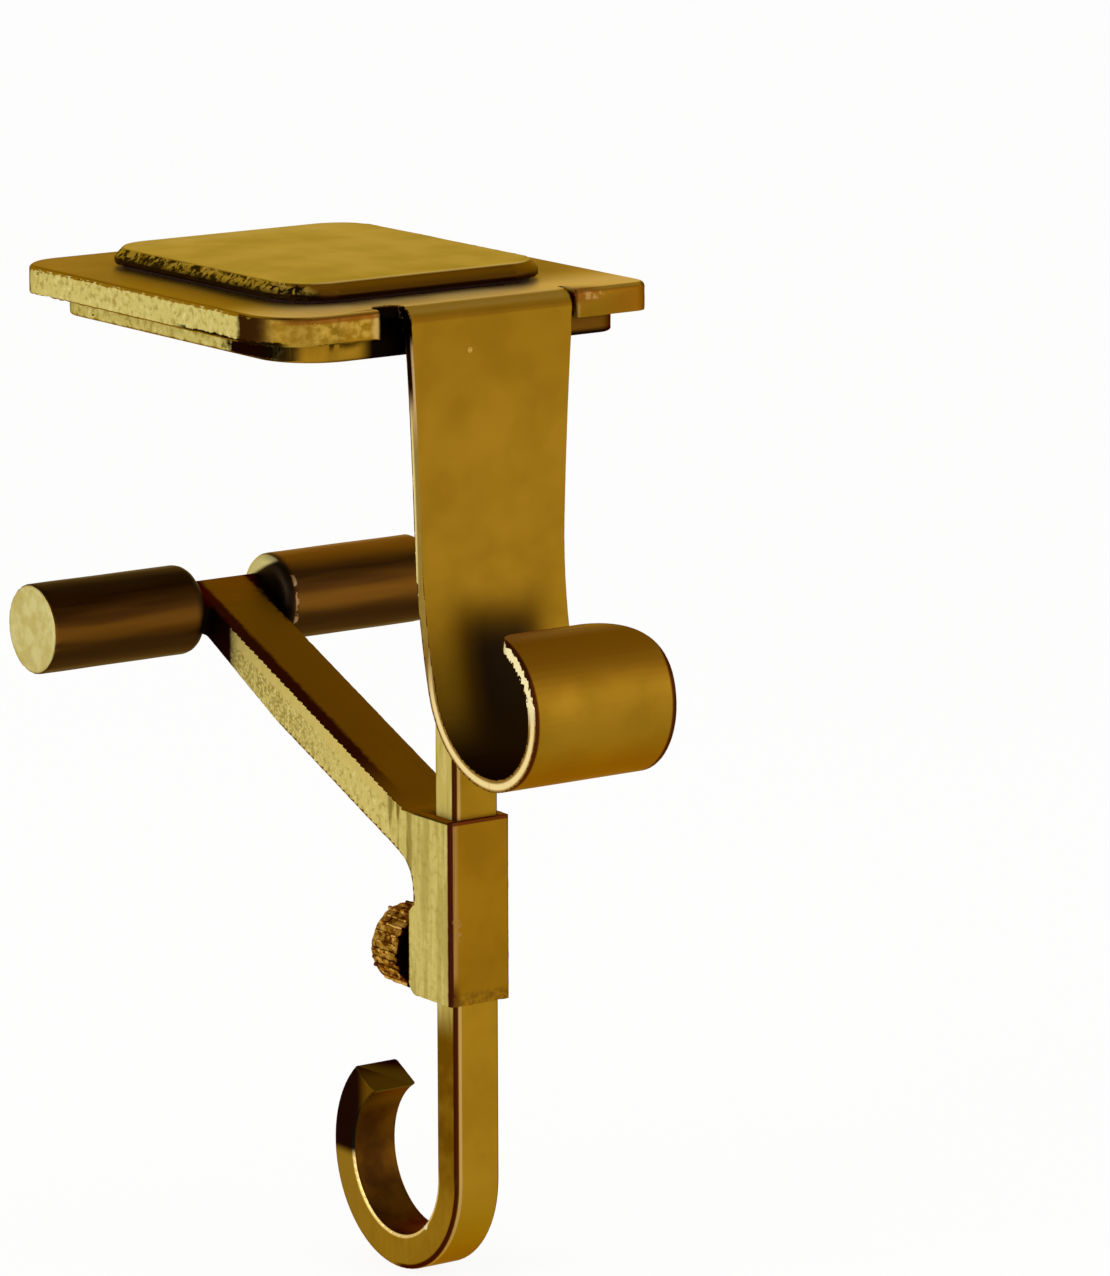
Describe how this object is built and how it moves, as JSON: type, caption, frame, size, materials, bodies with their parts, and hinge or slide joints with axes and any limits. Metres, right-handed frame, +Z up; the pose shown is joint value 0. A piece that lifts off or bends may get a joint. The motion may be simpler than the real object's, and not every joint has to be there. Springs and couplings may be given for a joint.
{
  "type": "mantel stocking holder",
  "caption": "Mantel stocking holder: padded plate on the mantel, strap with an open curl in front, hooked flat bar and a sliding clamp that grips from below.",
  "frame": {"origin": "middle of the plate, at the level of the under pad's bottom face, which stands on the mantel", "axes": "+X to the right seen from the front, +Y back towards the wall, +Z up; -Z is the outward normal of the face that rests on the mantel"},
  "size_m": [0.0698, 0.1044, 0.1486],
  "materials": {
    "strap_metal": "antique gold, satin",
    "top_pad": "matte",
    "tape": "matte",
    "under_pad": "matte",
    "bar_metal": "antique gold, satin",
    "cast_metal": "antique gold, satin, cast skin",
    "sleeve": "semi-matte",
    "screw_metal": "antique gold, worn"
  },
  "bodies": {
    "holder": {"hanger": "strap_metal", "top_pad": "top_pad", "pad_tape": "tape", "under_pad": "under_pad", "hook_bar": "bar_metal"},
    "clamp": {"clamp_casting": "cast_metal", "left_sleeve": "sleeve", "right_sleeve": "sleeve"},
    "screw": {"thumb_screw": "screw_metal"}
  },
  "joints": [
    {"name": "collar_slide", "type": "slide", "parent": "holder", "child": "clamp", "axis": [0, 0, 1], "range_m": [-0.0265, 0.0418]},
    {"name": "screw_turn", "type": "hinge", "parent": "clamp", "child": "screw", "pos_m": [0.004, -0.016, -0.0903], "axis": [0, 1, 0], "range_deg": [0, 1080]}
  ]
}
